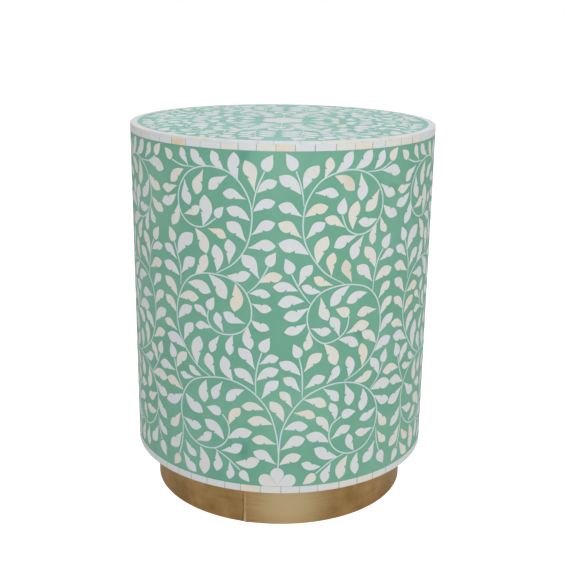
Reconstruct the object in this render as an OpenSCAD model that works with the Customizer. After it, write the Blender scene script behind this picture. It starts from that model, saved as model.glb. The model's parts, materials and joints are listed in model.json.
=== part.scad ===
// Bone inlay side table: a hollow wooden drum, skinned in poured resin with flush bone
// leaves, edged in bone tiles, on a recessed plinth wrapped in sheet brass.
// Origin: centre of the base on the floor. +Z is up and the front of the table faces -Y.

/* [Drum] */
// Outside diameter of the drum
table_d = 400; // [340:1:480]
// Height of the table top above the floor
table_h = 500; // [420:1:620]
// Thickness of the top board
top_board_t = 18; // [15:0.5:22]
// Thickness of the bottom board
bottom_board_t = 18; // [15:0.5:22]
// Thickness of the bent plywood skin
skin_t = 6; // [4:0.5:9]
// Number of upright battens
batten_n = 8; // [6:2:10]
// Width of a batten around the drum
batten_w = 40; // [30:1:50]
// Depth of a batten towards the axis
batten_d = 30; // [20:1:36]
// Thickness of the ring half way up
former_t = 12; // [9:0.5:18]
// Width of the ring half way up
former_w = 42; // [38:1:55]

/* [Plinth] */
// Height of the plinth, pads included
plinth_h = 60; // [45:1:80]
// How far the brass stands in from the drum's side
plinth_inset = 27; // [18:0.5:40]
// Thickness of the plinth's top and base boards
plinth_board_t = 12; // [9:0.5:15]
// Thickness of the plinth's hoop
hoop_t = 9; // [6:0.5:14]
// Thickness of the brass sheet
brass_t = 0.8; // [0.5:0.1:1.5]
// Width of the lap where the brass sheet closes
lap_w = 16; // [8:0.5:20]
// Direction of the lap's open edge, seen from above, in degrees from +X
lap_angle = 255.5; // [240:0.5:300]
// Side of a plinth corner block
block_w = 36; // [28:1:44]
// Diameter of a felt pad
pad_d = 24; // [18:1:27]
// Thickness of a felt pad
pad_t = 3; // [2:0.5:5]
// How far a pad stands proud of the base board
pad_proud = 1; // [0.8:0.1:1.5]

/* [Inlay] */
// Thickness of the resin and of the edge tiles
inlay_t = 3; // [2.6:0.1:4]
// Thickness of a bone leaf at its middle
bone_t = 2.2; // [1.8:0.1:2.4]
// Resin joint between one bone piece and the next
joint_w = 0.4; // [0.3:0.1:0.8]

/* [Edge tiles] */
// Height of the tile row at the top edge, under the bone ring
top_tile_h = 8; // [6:0.5:11]
// Height of the tile row at the bottom edge
bottom_tile_h = 9.5; // [8:0.5:12]
// Number of tiles around the top edge
top_tile_n = 56; // [44:4:64]
// Number of tiles around the bottom edge
bottom_tile_n = 52; // [44:4:60]
// Width of the bone ring on the top face, out to the drum's side
ring_w = 9.5; // [8:0.5:12]
// Number of pieces in the bone ring
ring_n = 48; // [40:4:56]
// Bevel on the outer edge of the ring
arris = 1; // [0.4:0.1:1.4]

/* [Flowers] */
// Radius of a petal's round end in the half flowers on the side
petal_r = 7.7; // [7:0.1:8.5]
// Distance of that round end from the middle of its flower
petal_reach = 14.8; // [14:0.1:16]
// Radius of the half flower's heart
heart_r = 11; // [10:0.5:12]
// Radius of a petal's round end in the flower on the top
top_petal_r = 11; // [9:0.5:12]
// Distance of that round end from the middle of the top
top_petal_reach = 18; // [16:0.5:19]
// Radius of the top flower's heart
top_heart_r = 13; // [10:0.5:14]

/* [Fasteners] */
// Shank diameter of a wood screw
screw_d = 4; // [3:0.5:5]
// Head diameter of a wood screw
screw_head_d = 8; // [7:0.5:10]
// Length of the screws into the battens
screw_l = 40; // [36:1:45]
// Length of the screws into the plinth's corner blocks
block_screw_l = 30; // [24:1:34]
// Wood left over the tips of the screws that hold the plinth to the drum
screw_cover = 6; // [4:0.5:8]
// Distance from the middle to the screws that hold the plinth to the drum
plinth_screw_reach = 110; // [80:1:115]
// Diameter of a panel pin
pin_d = 1.6; // [1.2:0.1:2]
// Length of a panel pin
pin_l = 20; // [16:1:24]
// How far a pin is punched below the face of the skin
pin_sink = 0.5; // [0.3:0.1:1]
// Number of panel pins up each batten
pin_rows = 4; // [2:1:6]

/* [Hidden] */
sides = ["front", "right", "back", "left"];
eps = 0.01;
drum_fn = 360;
petal_fn = 64;
hole_fn = 32;

// Radii from the outside in
drum_r = table_d / 2;
wood_r = drum_r - inlay_t;
board_r = wood_r - skin_t;
plinth_r = drum_r - plinth_inset - brass_t;
ring_r = drum_r - ring_w;

// Heights from the floor up
wood_top = table_h - inlay_t;
top_board_z = wood_top - top_board_t;
field_z = plinth_h + bottom_tile_h;
top_tile_z = wood_top - top_tile_h;
field_h = top_tile_z - field_z;
frame_z = plinth_h + bottom_board_t;
frame_h = top_board_z - frame_z;
former_z = frame_z + frame_h / 2 - former_t / 2;
base_z = pad_proud;
brass_h = plinth_h - base_z;
hoop_z = base_z + plinth_board_t;
plinth_top_z = plinth_h - plinth_board_t;
hoop_h = plinth_top_z - hoop_z;

// Fasteners, battens and blocks
batten_step = 360 / batten_n;
batten_screw_reach = board_r - batten_d / 2;
screw_head_h = (screw_head_d - screw_d) / 2;
screw_tip_h = 5;
plinth_screw_l = plinth_board_t + bottom_board_t - screw_cover;
pin_turn = asin(batten_w / 4 / wood_r);
hoop_r = plinth_r - hoop_t;
block_n = 4;
block_reach = sqrt(pow(hoop_r, 2) - pow(block_w / 2, 2)) - block_w / 2;
brass_r = plinth_r + brass_t;
lap_sweep = lap_w / plinth_r * 180 / PI;

// The side is drawn flat, as one plant that repeats four times around the drum.
// u runs to the right from the plant's stem and v runs up from the floor.
plant_n = len(sides);
plant_turn = 360 / plant_n;
drawn_z = 69.5;
flower_u = -2;
// Outlines reach at most this far beyond the line that they are drawn along
seam_margin = 9;
function turn(u) = -90 + u / plant_w * plant_turn;
function level(v) = field_z + (v - drawn_z) * v_scale;

// Leaf outline along its length: the notch is on the right as the leaf points away
leaf_outline = [[0.05, 0], [0.66, 0.31], [1, 0], [0.7, -0.17], [0.47, -0.04]];
// Bud outline along its length, rounder on the left
bud_outline = [[0.04, 0.14], [0.34, 0.4], [1, 0], [0.4, -0.32], [0.06, -0.2]];

// Leaves whose notch is on the right: base u, base v, tip u, tip v
notch_right = [
    [1, 99, 27.5, 111], [1.5, 119, 32, 134], [6, 147, 35.4, 150], [17.5, 169, 44.6, 162],
    [29, 186, 58.5, 175.5], [53.5, 199, 74, 180], [82.5, 202, 89.5, 171.5],
    [108.5, 191, 107, 161], [130, 161, 105, 149], [127, 134, 99, 133], [98, 109, 89, 133.5],
    [65.4, 129.6, 92, 143.5], [131, 115, 113, 88], [75, 104.5, 44, 120], [53, 94, 28, 100.5],
    [30, 200, 56, 214.5], [29, 222, 51, 245], [121, 186.5, 154.5, 189], [125, 236.5, 152, 251],
    [132.5, 260.5, 155, 281], [132.5, 284, 151, 304], [31, 283.5, 4.5, 273],
    [34.5, 275, 30.5, 249.5], [53.5, 256.5, 69.5, 228], [72, 260.5, 99.5, 249.5],
    [82, 267, 114.5, 275], [34.5, 303.5, 3.5, 291.5], [48, 322.5, 24.5, 331],
    [63, 329.5, 39, 341], [20.5, 330, 37, 356], [43, 357, 54.5, 390], [60.5, 340.5, 62.5, 370],
    [87.5, 331, 78, 360], [124.5, 463, 156.5, 457.5], [61.5, 460.5, 87, 442.5],
    [38, 441.5, 67, 438], [27, 413.5, 54.5, 425], [28, 387, 51.5, 406], [95, 462.5, 96.5, 429.5],
    [122.5, 441.5, 103.5, 416], [120.5, 405.5, 93.5, 404.5], [86.5, 396, 92, 429.5],
    [25, 446, 42.5, 473], [121, 328.5, 148.5, 341], [127, 353, 151, 362],
    [127.5, 305, 146.5, 324],
    [-64.5, 129.5, -33.5, 142], [-63, 149, -48.5, 172.5], [-22.5, 186.5, -1.5, 211],
    [-28, 210.5, -1.5, 225.5], [-25.5, 231.5, -1.5, 241], [-58, 208, -70.5, 238],
    [-81.5, 210, -91.5, 239], [-101, 207, -120, 217], [-112, 202, -134.5, 204],
    [-132, 175.5, -161.5, 160], [-135, 149, -155, 126], [-133.5, 122.5, -155.5, 97.5],
    [-62.5, 99, -63.5, 74], [-80, 111, -80.5, 82], [-104, 110.5, -98.5, 73.5],
    [-140.5, 209, -123.5, 233], [-107, 221, -103, 258.5], [-128, 247.5, -112.5, 273.5],
    [-136, 275, -114, 294.5], [-134, 302.5, -103.5, 307], [-119.5, 324, -86.5, 316.5],
    [-89, 338.5, -66.5, 310.5], [-55, 331, -56, 296], [-70, 268, -79, 293],
    [-42, 282, -70, 294], [-37, 320, -12, 318.5], [-25, 334, 2, 342.5],
    [-130, 333.5, -108.5, 356], [-135, 357.5, -111, 386], [-39.5, 375.5, -6.5, 378.5],
    [-35.5, 391, -7.5, 406.5], [-33, 419, -7.5, 431.5], [-28.5, 441, -5.5, 455],
    [-51.5, 454.5, -56, 487], [-68.5, 466, -84, 487], [-91, 469, -112.5, 486.5],
    [-116.5, 467, -127, 487.5], [-134, 441, -160.5, 436.5], [-136.5, 430.5, -162, 417.5],
    [-133, 419, -144, 392], [-107.5, 393, -91.5, 364], [-90, 395, -66, 385.5]];
// Leaves whose notch is on the left
notch_left = [
    [16, 175.5, 0, 197], [5, 157, -12, 184], [57.5, 204, 73, 227], [95, 202.5, 122, 211.5],
    [125.5, 178, 153.5, 165], [133.5, 155, 151, 131.5], [62.5, 126, 33, 137.5],
    [61.7, 140, 45.7, 162], [70.4, 155.4, 63.3, 179], [89, 104, 78, 73], [103.5, 105, 101.5, 75],
    [134.5, 127, 151, 108], [66.5, 98, 57.5, 71], [25.5, 196.5, 4, 215], [25, 218, -1, 235],
    [132.5, 205, 119, 229], [87, 210, 86.5, 237.5], [106, 221, 104, 251.5],
    [126, 248, 104, 266], [36.5, 277.5, 62, 272], [73, 264, 61, 290], [48, 316, 57.5, 286],
    [84.5, 327, 60.5, 303.5], [28, 311.5, -3.5, 308], [20, 324.5, -9.5, 329.5],
    [32, 368.5, -3.5, 382], [93.5, 388.5, 63, 375.5], [101.5, 388, 87, 359],
    [120, 398.5, 114.5, 374.5], [125.5, 408, 136, 387.5], [130, 421, 154, 406],
    [124, 447.5, 149, 431.5], [114, 465.5, 128, 487], [87.5, 467.5, 110, 488],
    [63, 464.5, 83.5, 488], [49, 457, 56, 482.5], [76.5, 399, 50.5, 411], [22, 440, -3.5, 461],
    [24, 414, -4, 427], [24, 388.5, -4, 406], [120, 345.5, 104, 373], [117, 328.5, 93.5, 350.5],
    [110, 315.5, 81, 306], [125.5, 292, 96, 289],
    [-3, 99.5, -32, 115.5], [-3, 127, -34, 132], [-8.5, 153.5, -39.5, 156],
    [-19, 172.5, -47, 175], [-43.5, 197, -67, 180], [-71.5, 205, -84, 179],
    [-94, 203, -97.5, 172], [-126.5, 178, -99.5, 158], [-131, 144.5, -102, 137.5],
    [-110, 117, -87.5, 133.5], [-70, 127, -97, 149.5], [-32, 204.5, -56.5, 223],
    [-30, 224.5, -51, 250.5], [-128.5, 113.5, -110.5, 95], [-132.5, 96, -111, 73],
    [-74, 111, -46, 123], [-55, 98.5, -24, 104.5], [-130, 181, -160, 190.5],
    [-143.5, 204, -174, 206], [-126, 238.5, -157.5, 250], [-138, 258.5, -162, 268],
    [-140, 282.5, -159, 301], [-137.5, 303.5, -159, 325], [-65, 340, -36, 344],
    [-35.5, 308, -10.5, 301.5], [-35, 287, -13, 276.5], [-39, 278.5, -35.5, 250],
    [-58, 266, -62, 240], [-75.5, 264, -87, 240], [-84.5, 272, -109, 271],
    [-92, 284, -110.5, 297], [-25.5, 338.5, -46.5, 366.5], [-133, 330.5, -160.5, 343],
    [-136.5, 350, -159, 366], [-62.5, 354, -63.5, 384.5], [-78, 344, -80.5, 376.5],
    [-108.5, 335.5, -92, 363], [-41, 382.5, -65.5, 404.5], [-37, 408, -65.5, 421],
    [-41.5, 433, -70, 438.5], [-64, 459.5, -88, 441.5], [-95, 464.5, -105, 433.5],
    [-122.5, 450.5, -115.5, 420], [-124, 408, -100.5, 420], [-96.5, 397.5, -94, 434.5],
    [-31.5, 442.5, -43, 478], [-123.5, 462, -145, 444.5]];
// Buds at the ends of the stems
buds = [[79, 160, 99, 162], [23, 241, 15.5, 258.5], [140, 219, 144.5, 237.5],
    [139.5, 97, 148.5, 77.5], [45.5, 84, 30, 71.5], [85, 291, 67, 299.5], [12, 346, 4.5, 364.5],
    [133, 368, 144, 385], [71.5, 415, 74.5, 435], [15, 468.5, 4, 487], [139, 474, 151, 488],
    [-74, 162.5, -94, 167], [-22, 248, -12.5, 266], [-146, 221, -151, 240],
    [-139.5, 89, -149, 72.5], [-48, 87.5, -36.5, 73.5], [-90, 295, -82, 311],
    [-15.5, 355, -6, 371.5], [-142, 372, -149.5, 389.5], [-79, 409.5, -69, 422.5],
    [-20, 467, -10.5, 485.5], [-143, 472.5, -155, 484]];

// The outlines of a plant, as drawn
plant_outlines = concat([for (line = notch_right) along(leaf_outline, line, 1)],
    [for (line = notch_left) along(leaf_outline, line, -1)],
    [for (line = buds) along(bud_outline, line, bud_bulge(line))]);
// The drawing ends where its highest leaf tips clear the tiles of the top edge
tip_gap = 1;
drawn_h = max([for (pts = plant_outlines) upright(pts)[1]]) + tip_gap - drawn_z;
v_scale = field_h / drawn_h;
// The next plant starts where its leaves clear this plant's leaves by the seam's gap
seam_gap = 1.05;
// Only outlines that reach further than this from the stem can meet the next plant's
seam_u = 100;
right_outlines = [for (pts = plant_outlines) if (across(pts)[1] > seam_u) pts];
left_outlines = [for (pts = plant_outlines) if (across(pts)[0] < -seam_u) pts];
plant_w = max([for (a = right_outlines, b = left_outlines) touching(a, b)]) + seam_gap;
u_scale = 2 * PI * drum_r / (plant_n * plant_w);

// The top is drawn as one quarter: x runs right from the stem and y runs out to the rim.
// It is mirrored left and right, and again front and back.
top_notch_right = [
    [7, 53.5, 31, 60], [12.5, 67.5, 37, 72], [22.5, 84, 48, 84], [38.5, 98, 62, 94.5], [58, 105, 79, 92],
    [96, 100, 94.5, 77], [113.5, 81.5, 94, 63.5], [118, 62, 94, 50], [82, 36, 78, 60],
    [31.5, 115.5, 45, 137], [28, 132, 48, 152], [66, 137, 84, 152], [98, 116, 123, 124],
    [72, 26.5, 46, 34], [148.5, 83, 137, 67], [158.5, 66, 146, 54], [162, 46, 152, 31],
    [162.5, 28, 147, 19]];
top_notch_left = [
    [15, 77, 3.5, 98], [44, 102.5, 56, 123], [117, 53, 127, 32], [100, 37, 117, 18],
    [90, 33.5, 93, 9], [57, 50.5, 38, 57], [55.5, 62.5, 40, 78], [61.5, 77, 57.5, 89],
    [28, 103.5, 9, 116], [29.5, 119, 7, 135], [25, 136, 4.5, 146], [64.5, 126, 50, 142],
    [96, 118.5, 76, 130], [98.5, 128, 80, 142], [137, 92, 139, 119], [148, 87, 158, 101],
    [163, 68.5, 176, 51], [165, 49, 181, 28], [165, 29, 183, 9], [73, 26, 70, 5]];
top_buds = [[73, 81.5, 89, 80], [23.5, 147, 16, 167], [61, 147, 58, 168], [101.5, 133, 105, 151],
    [137.5, 44, 144, 26], [54, 18.5, 37, 12], [164, 19, 158, 3.5]];
// Resin between the outermost leaf tip and the bone ring
rim_gap = 3;
top_drawn_r = reach(concat(top_notch_right, top_notch_left, top_buds)) + rim_gap;
top_scale = ring_r / top_drawn_r;

// Outline of a leaf or bud drawn along its line; bulge is 1 where its round flank is on the left
function along(outline, line, bulge) = let (dx = line[2] - line[0], dy = line[3] - line[1])
    [for (p = outline)
        [line[0] + p[0] * dx - bulge * p[1] * dy, line[1] + bulge * p[1] * dx + p[0] * dy]];
// A bud's round flank is the upper one
function bud_bulge(line) = (line[2] - line[0]) * (line[3] - line[1]) > 0 ? 1 : -1;

// Least and greatest u or v of an outline
function across(pts) = let (u = [for (p = pts) p[0]]) [min(u), max(u)];
function upright(pts) = let (v = [for (p = pts) p[1]]) [min(v), max(v)];
// How far an outline reaches at one level, to the right (side 1) or to the left (side -1)
function reach_at(pts, v, side) = max([for (k = [0:len(pts) - 1])
    let (p = pts[k], q = pts[(k + 1) % len(pts)])
    if (p[1] != q[1] && (p[1] - v) * (q[1] - v) <= 0)
        side * (p[0] + (v - p[1]) / (q[1] - p[1]) * (q[0] - p[0]))]);
// The distance between two plants at which outline b of the right one would touch outline a
function touching(a, b) = let (
    low = max(upright(a)[0], upright(b)[0]), high = min(upright(a)[1], upright(b)[1]))
    low >= high ? 0 : max([for (p = concat(a, b)) if (p[1] >= low && p[1] <= high)
        reach_at(a, p[1], 1) + reach_at(b, p[1], -1)]);
// The furthest end of a list of lines from the middle of the top
function reach(lines) =
    max([for (line = lines) max(norm([line[0], line[1]]), norm([line[2], line[3]]))]);

// The middle of an outline's box, and the outline about it at the drum's true size
function middle(pts) = let (u = across(pts), v = upright(pts)) [u[0] + u[1], v[0] + v[1]] / 2;
function about(pts, mid) = [for (p = pts) [(p[0] - mid[0]) * u_scale, (p[1] - mid[1]) * v_scale]];

// A full disc with its underside at z
module disc(r, z, h) {
    translate([0, 0, z]) cylinder(r = r, h = h, $fn = drum_fn);
}

// A ring with its underside at z, or the part of it that starts at an angle
module ring(r_in, r_out, z, h, from = 0, sweep = 360) {
    rotate([0, 0, from]) rotate_extrude(angle = sweep, $fn = drum_fn)
        translate([r_in, z]) square([r_out - r_in, h]);
}

// A ring cut into n pieces with a resin joint between them
module pieces(n, r_in, r_out, z, h) {
    gap = joint_w / r_out * 180 / PI;
    for (i = [0:n - 1]) ring(r_in, r_out, z, h, i * 360 / n + gap / 2, 360 / n - gap);
}

// Countersunk wood screw that points down, with the face of its head at the origin
module screw(length) {
    rotate_extrude($fn = hole_fn) polygon([[0, 0], [screw_head_d / 2, 0],
        [screw_d / 2, -screw_head_h], [screw_d / 2, screw_tip_h - length], [0, -length]]);
}

module at_battens() {
    for (i = [0:batten_n - 1]) rotate([0, 0, i * batten_step]) children();
}

// The screws and pins of the batten on the +X side
module top_screw() {
    translate([batten_screw_reach, 0, wood_top]) screw(screw_l);
}

module bottom_screw() {
    translate([batten_screw_reach, 0, plinth_h]) rotate([180, 0, 0]) screw(screw_l);
}

// Pins up a batten, to the left and right of its middle in turn, reaching out past the skin
module batten_pins(past = 0) {
    for (row = [0:pin_rows - 1])
        rotate([0, 0, row % 2 == 0 ? pin_turn : -pin_turn])
            translate([wood_r - pin_sink - pin_l, 0, frame_z + frame_h * (row + 0.5) / pin_rows])
                rotate([0, 90, 0]) cylinder(d = pin_d, h = pin_l + past, $fn = hole_fn);
}

module at_blocks() {
    for (i = [0:block_n - 1]) rotate([0, 0, (i + 0.5) * 360 / block_n])
        translate([block_reach, 0, 0]) children();
}

module top_board() {
    color("burlywood") difference() {
        disc(board_r, top_board_z, top_board_t);
        at_battens() top_screw();
    }
}

module bottom_board() {
    color("burlywood") difference() {
        disc(board_r, plinth_h, bottom_board_t);
        at_battens() bottom_screw();
        screws_to_drum();
    }
}

// Ring half way up that keeps the drum round, notched over the battens
module former_ring() {
    color("burlywood") difference() {
        ring(board_r - former_w, board_r, former_z, former_t);
        at_battens() translate([board_r - batten_d, -batten_w / 2, former_z - eps])
            cube([batten_d + 1, batten_w, former_t + 2 * eps]);
    }
}

module batten(i) {
    color("peru") rotate([0, 0, i * batten_step]) difference() {
        intersection() {
            translate([board_r - batten_d, -batten_w / 2, frame_z])
                cube([batten_d + 1, batten_w, frame_h]);
            disc(board_r, frame_z, frame_h);
        }
        top_screw();
        bottom_screw();
        batten_pins();
    }
}

// Half of the bent plywood skin, from the left or right side of the drum round to the other
module skin(from) {
    color("tan") difference() {
        ring(board_r, wood_r, plinth_h, wood_top - plinth_h, from, 180);
        at_battens() batten_pins(pin_sink + 1);
    }
}

// One leaf or bud of the side as a straight prism, sunk from the drum's face
module set_in(pts) {
    mid = middle(pts);
    rotate([0, 0, turn(mid[0])]) translate([drum_r - bone_t, 0, level(mid[1])])
        rotate([90, 0, 90]) linear_extrude(bone_t + 1) polygon(about(pts, mid));
}

// The leaves and buds of a plant that reach as far out as the given u
module plant_leaves(least = 0) {
    for (line = notch_right)
        if (max(abs(line[0]), abs(line[2])) >= least) set_in(along(leaf_outline, line, 1));
    for (line = notch_left)
        if (max(abs(line[0]), abs(line[2])) >= least) set_in(along(leaf_outline, line, -1));
    for (line = buds)
        if (max(abs(line[0]), abs(line[2])) >= least)
            set_in(along(bud_outline, line, bud_bulge(line)));
}

// One petal flat, its flower's middle at the origin, a joint apart from the next petals
module petal(r, reach, heart) {
    far = reach + r;
    intersection() {
        union() {
            translate([reach, 0]) circle(r, $fn = petal_fn);
            circle(heart, $fn = petal_fn);
        }
        polygon([[joint_w, 0], [joint_w + far, -far * tan(30)], [joint_w + far, far * tan(30)]]);
    }
}

// The three upper petals of a flower that stands on the bottom tiles, in the drum's face
module half_flower() {
    rotate([0, 0, turn(flower_u)]) translate([drum_r - bone_t, 0, field_z])
        rotate([90, 0, 90]) linear_extrude(bone_t + 1) intersection() {
            for (i = [0:2]) rotate(30 + 60 * i) petal(petal_r, petal_reach, heart_r);
            translate([-drum_r / 2, 0]) square([drum_r, drum_r / 2]);
        }
}

module resin(i) {
    color([0.43, 0.67, 0.56]) rotate([0, 0, i * plant_turn]) difference() {
        ring(wood_r, drum_r, field_z, field_h, turn(-plant_w / 2), plant_turn);
        plant_leaves();
        half_flower();
        for (side = [-plant_turn, plant_turn])
            rotate([0, 0, side]) plant_leaves(plant_w / 2 - seam_margin);
    }
}

module leaves(i) {
    color([0.87, 0.86, 0.83]) rotate([0, 0, i * plant_turn]) intersection() {
        disc(drum_r, field_z, field_h);
        plant_leaves();
    }
}

module half_flowers() {
    color([0.87, 0.86, 0.83]) intersection() {
        disc(drum_r, field_z, field_h);
        for (i = [0:plant_n - 1]) rotate([0, 0, i * plant_turn]) half_flower();
    }
}

// Flat outlines on the top as solids that reach past its face by the given amount
module on_top(past) {
    translate([0, 0, table_h - bone_t]) linear_extrude(bone_t + past) scale(top_scale) children();
}

module top_quarters() {
    for (x = [0, 1], y = [0, 1]) mirror([x, 0, 0]) mirror([0, y, 0]) children();
}

module top_leaf_solids(past = 0) {
    top_quarters() on_top(past) {
        for (line = top_notch_right) polygon(along(leaf_outline, line, 1));
        for (line = top_notch_left) polygon(along(leaf_outline, line, -1));
        for (line = top_buds) polygon(along(bud_outline, line, bud_bulge(line)));
    }
}

module top_flower_solids(past = 0) {
    on_top(past) for (i = [0:5]) rotate(30 + 60 * i) petal(top_petal_r, top_petal_reach, top_heart_r);
}

// The disc of resin and bone on the top, bevelled where the top meets the side
module top_plate() {
    rotate_extrude($fn = drum_fn) polygon([[0, wood_top], [drum_r, wood_top],
        [drum_r, table_h - arris], [drum_r - arris, table_h], [0, table_h]]);
}

module top_resin() {
    color([0.43, 0.67, 0.56]) difference() {
        top_plate();
        ring_places();
        top_leaf_solids(1);
        top_flower_solids(1);
    }
}

module top_leaves() {
    color([0.87, 0.86, 0.83]) top_leaf_solids();
}

module top_flower() {
    color([0.87, 0.86, 0.83]) top_flower_solids();
}

// Places of the bone ring's pieces, which lie over the skin and the tiles
module ring_places() {
    pieces(ring_n, ring_r, drum_r + 1, wood_top, inlay_t + 1);
}

module top_ring() {
    color([0.9, 0.89, 0.86]) intersection() {
        top_plate();
        ring_places();
    }
}

module top_tile_solids(past = 0) {
    pieces(top_tile_n, wood_r - past, drum_r + past, top_tile_z + joint_w,
        top_tile_h - joint_w + past);
}

module top_tiles() {
    color([0.9, 0.89, 0.86]) top_tile_solids();
}

module top_grout() {
    color([0.38, 0.55, 0.47]) difference() {
        ring(wood_r, drum_r, top_tile_z, top_tile_h);
        top_tile_solids(1);
    }
}

module bottom_tile_solids(past = 0) {
    pieces(bottom_tile_n, wood_r - past, drum_r + past, plinth_h - past,
        bottom_tile_h - joint_w + past);
}

module bottom_tiles() {
    color([0.88, 0.86, 0.8]) bottom_tile_solids();
}

module bottom_grout() {
    color([0.38, 0.55, 0.47]) difference() {
        ring(wood_r, drum_r, plinth_h, bottom_tile_h);
        bottom_tile_solids(1);
    }
}

// Screws down through the plinth's top into the drum, seen from inside the plinth
module screws_to_drum() {
    for (i = [0:block_n - 1]) rotate([0, 0, i * 360 / block_n])
        translate([plinth_screw_reach, 0, plinth_top_z]) rotate([180, 0, 0]) screw(plinth_screw_l);
}

// Screws up through the base into the corner blocks, each hidden by its felt pad
module screws_to_blocks() {
    at_blocks() translate([0, 0, pad_t]) rotate([180, 0, 0]) screw(block_screw_l);
}

module plinth_top() {
    color("burlywood") difference() {
        disc(plinth_r, plinth_top_z, plinth_board_t);
        screws_to_drum();
    }
}

module plinth_hoop() {
    color("tan") ring(hoop_r, plinth_r, hoop_z, hoop_h);
}

module plinth_blocks() {
    color("peru") difference() {
        at_blocks() translate([-block_w / 2, -block_w / 2, hoop_z]) cube([block_w, block_w, hoop_h]);
        screws_to_blocks();
    }
}

module plinth_base() {
    color("burlywood") difference() {
        disc(plinth_r, base_z, plinth_board_t);
        at_blocks() cylinder(d = pad_d, h = pad_t, $fn = petal_fn);
        screws_to_blocks();
    }
}

// Point on the plan, at a distance from the axis and an angle from +X
function on_plan(r, angle) = r * [cos(angle), sin(angle)];

// One sheet around the plinth; its end runs straight out of the round and lies over its start
module brass_band() {
    color([0.62, 0.48, 0.3]) {
        ring(plinth_r, brass_r, base_z, brass_h);
        translate([0, 0, base_z]) linear_extrude(brass_h) polygon([
            on_plan(brass_r - brass_t / 2, lap_angle),
            on_plan(brass_r - brass_t / 4, lap_angle + lap_sweep),
            on_plan(brass_r + brass_t, lap_angle)]);
    }
}

module plinth_screws() {
    color("silver") screws_to_drum();
}

module block_screws() {
    color("silver") screws_to_blocks();
}

module felt_pads() {
    color("dimgray") at_blocks() cylinder(d = pad_d, h = pad_t, $fn = petal_fn);
}

module skin_pins() {
    color("silver") at_battens() batten_pins();
}

module top_screws() {
    color("silver") at_battens() top_screw();
}

module bottom_screws() {
    color("silver") at_battens() bottom_screw();
}

top_board();
bottom_board();
former_ring();
for (i = [1:batten_n]) batten(i - 1);
skin(180);  // skin_front
skin(0);  // skin_back
skin_pins();
top_screws();
bottom_screws();
for (i = [0:plant_n - 1]) resin(i);
for (i = [0:plant_n - 1]) leaves(i);
half_flowers();
top_resin();
top_leaves();
top_flower();
top_ring();
top_tiles();
top_grout();
bottom_tiles();
bottom_grout();
plinth_top();
plinth_hoop();
plinth_blocks();
plinth_base();
plinth_screws();
block_screws();
brass_band();
felt_pads();
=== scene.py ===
# Bone inlay side table: a wooden drum faced in green poured resin with flush bone leaves and
# vines, edged in bone tiles, on a recessed plinth wrapped in sheet brass. The CAD parts are in
# the frame; this script makes the inlaid faces, the tiles, the brass and every finish.
import json
import math
import random

import bmesh
import bpy
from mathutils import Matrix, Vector

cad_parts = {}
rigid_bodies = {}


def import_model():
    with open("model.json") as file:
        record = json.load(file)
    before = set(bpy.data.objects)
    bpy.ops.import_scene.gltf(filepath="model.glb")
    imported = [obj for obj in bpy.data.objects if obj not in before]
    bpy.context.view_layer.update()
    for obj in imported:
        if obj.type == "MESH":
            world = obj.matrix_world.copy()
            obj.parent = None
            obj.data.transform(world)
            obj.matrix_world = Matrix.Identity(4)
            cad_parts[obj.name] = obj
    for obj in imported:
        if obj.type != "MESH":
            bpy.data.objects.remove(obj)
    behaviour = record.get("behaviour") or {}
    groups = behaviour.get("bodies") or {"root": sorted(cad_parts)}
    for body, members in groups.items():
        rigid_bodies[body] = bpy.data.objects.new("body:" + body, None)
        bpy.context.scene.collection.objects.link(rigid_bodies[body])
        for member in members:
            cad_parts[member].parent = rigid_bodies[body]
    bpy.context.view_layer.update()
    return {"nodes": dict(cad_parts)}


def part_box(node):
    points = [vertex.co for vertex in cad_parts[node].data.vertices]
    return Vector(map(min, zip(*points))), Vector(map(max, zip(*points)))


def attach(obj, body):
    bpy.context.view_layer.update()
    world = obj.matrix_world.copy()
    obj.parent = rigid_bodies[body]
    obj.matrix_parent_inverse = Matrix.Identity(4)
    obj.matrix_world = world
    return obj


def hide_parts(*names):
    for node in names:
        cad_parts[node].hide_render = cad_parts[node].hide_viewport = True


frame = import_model()


# Camera: in front of the table and a little above its top. Its place, tilt and lens come from
# fitting the ellipses and edges of the drum in the photograph.
def new_object(name, data):
    """A new object in the scene, at the origin."""
    made = bpy.data.objects.new(name, data)
    bpy.context.scene.collection.objects.link(made)
    return made


camera = new_object("camera", bpy.data.cameras.new("camera"))
camera.location = (0.0013, -1.2966, 0.6585)
camera_tilt, camera_turn, camera_roll = (math.radians(angle) for angle in (16.45, -0.06, 0.7))
camera.rotation_euler = (math.pi / 2 - camera_tilt, 0, camera_turn)
camera.rotation_euler.rotate_axis("Z", camera_roll)
camera.data.sensor_width = 36
camera.data.lens = 62.0
bpy.context.scene.camera = camera
bpy.context.scene.view_settings.view_transform = "Standard"


class Tree:
    """A node tree of a finish or of Geometry Nodes, written as expressions."""

    def __init__(self, nodes):
        self.nodes = nodes
        self.nodes.nodes.clear()

    def node(self, kind, sockets=None, output=0, **settings):
        """Adds a node: its settings first, then the values or links of its sockets."""
        made = self.nodes.nodes.new(kind)
        for name, value in settings.items():
            setattr(made, name, value)
        for name, value in (sockets or {}).items():
            if isinstance(value, Field):
                self.nodes.links.new(value.socket, made.inputs[name])
            else:
                made.inputs[name].default_value = value
        return Field(self, made.outputs[output]) if len(made.outputs) else None

    def mix(self, share, first, second):
        """A colour from the first to the second as share goes from 0 to 1."""
        sockets = {0: share, 6: first, 7: second}
        return self.node("ShaderNodeMix", sockets, output=2, data_type="RGBA")


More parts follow.
